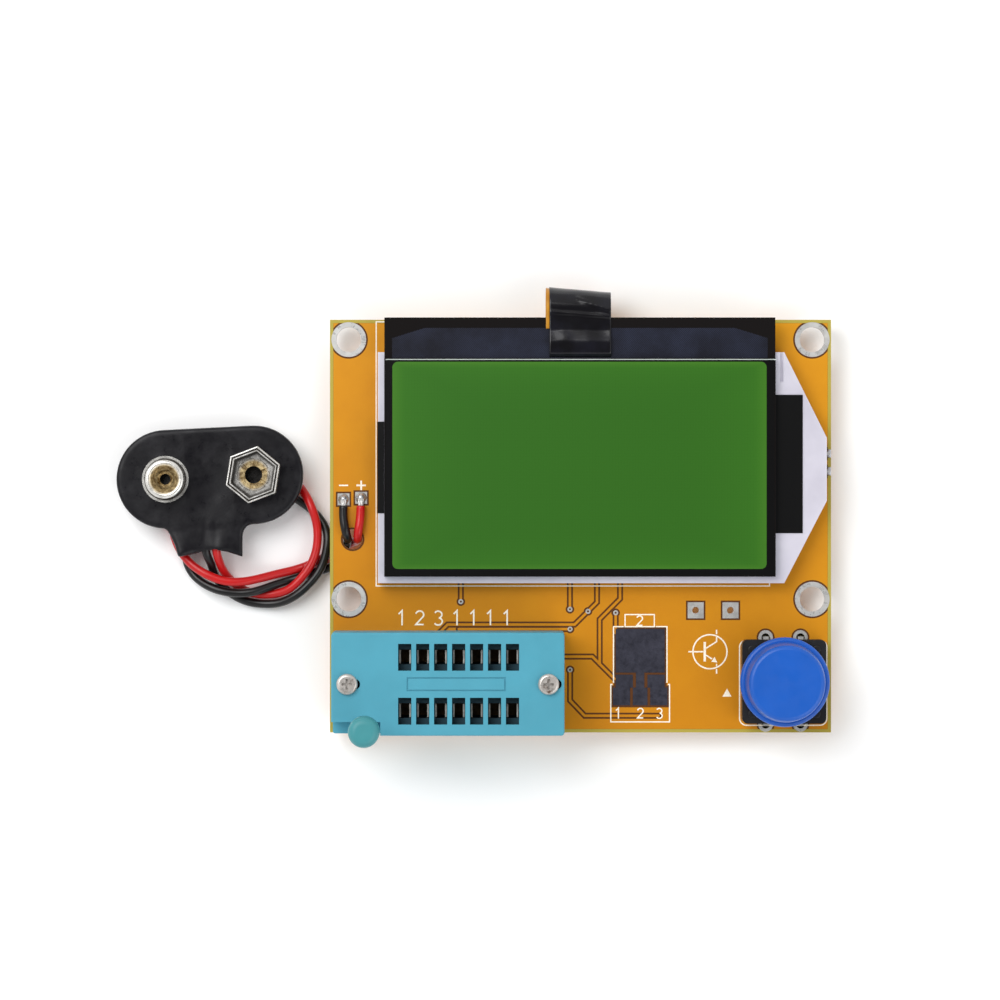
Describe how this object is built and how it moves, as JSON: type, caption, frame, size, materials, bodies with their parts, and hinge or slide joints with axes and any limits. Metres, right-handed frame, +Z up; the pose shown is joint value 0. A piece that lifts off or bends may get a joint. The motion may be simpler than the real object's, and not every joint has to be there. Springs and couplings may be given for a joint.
{
  "type": "component tester",
  "caption": "Open-board electronic component tester with a backlit graphic display, a lever-locked test socket, a push button and a leaded battery snap.",
  "frame": {"origin": "centre of the four mounting holes, on the board's underside", "axes": "+Z up out of the display side, +X to the right and +Y to the rear (flex cable) edge as the display is read"},
  "size_m": [0.1027, 0.0651, 0.0262],
  "materials": {
    "fr4_board": "glass-fibre laminate with a solder-resist coat",
    "masked_copper": "orange solder resist over copper",
    "bare_plating": "tinned copper",
    "dark_pads": "dull tinned pads",
    "foam_tape": "double-sided foam",
    "white_film": "white film",
    "light_guide": "milky acrylic",
    "white_led": "white LED package",
    "tinned_metal": "tinned",
    "polariser": "green-tinted film",
    "display_glass": "clear glass",
    "dark_film": "black printed film",
    "amber_polyimide": "amber polyimide",
    "teal_plastic": "moulded, satin",
    "contact_spring": "plated spring alloy",
    "steel_rod": "zinc-plated steel",
    "nickel_screw": "nickel-plated steel",
    "solder": "solder",
    "black_plastic": "moulded, satin",
    "blue_plastic": "moulded, semi-gloss",
    "black_epoxy": "moulded epoxy",
    "crystal_metal": "drawn nickel silver can",
    "resistor_glaze": "black glaze",
    "capacitor_ceramic": "sintered ceramic",
    "red_insulation": "vinyl insulation",
    "black_insulation": "vinyl insulation",
    "black_vinyl": "soft vinyl",
    "fibre_plate": "pressed fibre",
    "snap_metal": "nickel-plated brass"
  },
  "bodies": {
    "board": {"circuit_board": "fr4_board", "top_copper_pour": "masked_copper", "top_tracks": "masked_copper", "vias": "bare_plating", "mounting_hole_plating": "bare_plating", "test_pads": "dark_pads", "solder_lands": "bare_plating", "pin_lands": "bare_plating", "bottom_copper_pour": "masked_copper", "bottom_tracks": "masked_copper", "display_foam_tape": "foam_tape", "backlight_reflector": "white_film", "backlight_light_guide": "light_guide", "backlight_diffuser": "white_film", "backlight_led": "white_led", "backlight_leads": "tinned_metal", "rear_polariser": "polariser", "rear_glass": "display_glass", "glass_seal": "dark_film", "front_glass": "display_glass", "front_polariser": "polariser", "display_mask": "dark_film", "ledge_tracks": "dark_film", "display_driver_chip": "dark_film", "flex_cable": "amber_polyimide", "flex_cover_tape": "dark_film", "light_shield_left": "dark_film", "light_shield_right": "dark_film", "socket_base": "teal_plastic", "socket_contacts": "contact_spring", "socket_screws": "nickel_screw", "solder_joints": "solder", "lead_solder_joints": "solder", "switch_base": "black_plastic", "switch_cover_plate": "black_plastic", "switch_dome": "tinned_metal", "switch_terminals": "tinned_metal", "microcontroller": "black_epoxy", "microcontroller_leads": "tinned_metal", "crystal_can": "crystal_metal", "voltage_regulator": "black_epoxy", "transistors": "black_epoxy", "small_package_leads": "tinned_metal", "resistors": "resistor_glaze", "capacitors": "capacitor_ceramic", "chip_end_caps": "tinned_metal", "red_lead_board_end": "red_insulation", "black_lead_board_end": "black_insulation"},
    "lever": {"socket_lever": "steel_rod", "socket_lever_knob": "teal_plastic"},
    "cover_slide": {"socket_cover": "teal_plastic"},
    "button": {"switch_cap": "blue_plastic", "switch_plunger": "black_plastic"},
    "battery_snap": {"red_lead": "red_insulation", "black_lead": "black_insulation", "snap_cover": "black_vinyl", "snap_plate": "fibre_plate", "snap_round_contact": "snap_metal", "snap_hex_contact": "snap_metal"}
  },
  "joints": [
    {"name": "lever_turn", "type": "hinge", "parent": "board", "child": "lever", "pos_m": [-0.0306, -0.0368, 0.00719], "axis": [0, -1, 0], "range_deg": [0, 90]},
    {"name": "cover_shift", "type": "slide", "parent": "board", "child": "cover_slide", "axis": [-1, 0, 0], "range_m": [0, 0.00111]},
    {"name": "button_press", "type": "slide", "parent": "board", "child": "button", "axis": [0, 0, -1], "range_m": [0, 0.0003], "stiffness_N_per_m": 100},
    {"name": "snap_lift", "type": "hinge", "parent": "board", "child": "battery_snap", "pos_m": [-0.0368, -0.013, -0.00072], "axis": [0, 1, 0], "range_deg": [0, 80]}
  ],
  "couplings": [
    {"joint": "cover_shift", "follows": "lever_turn", "m_per_rad": 0.00070028}
  ]
}
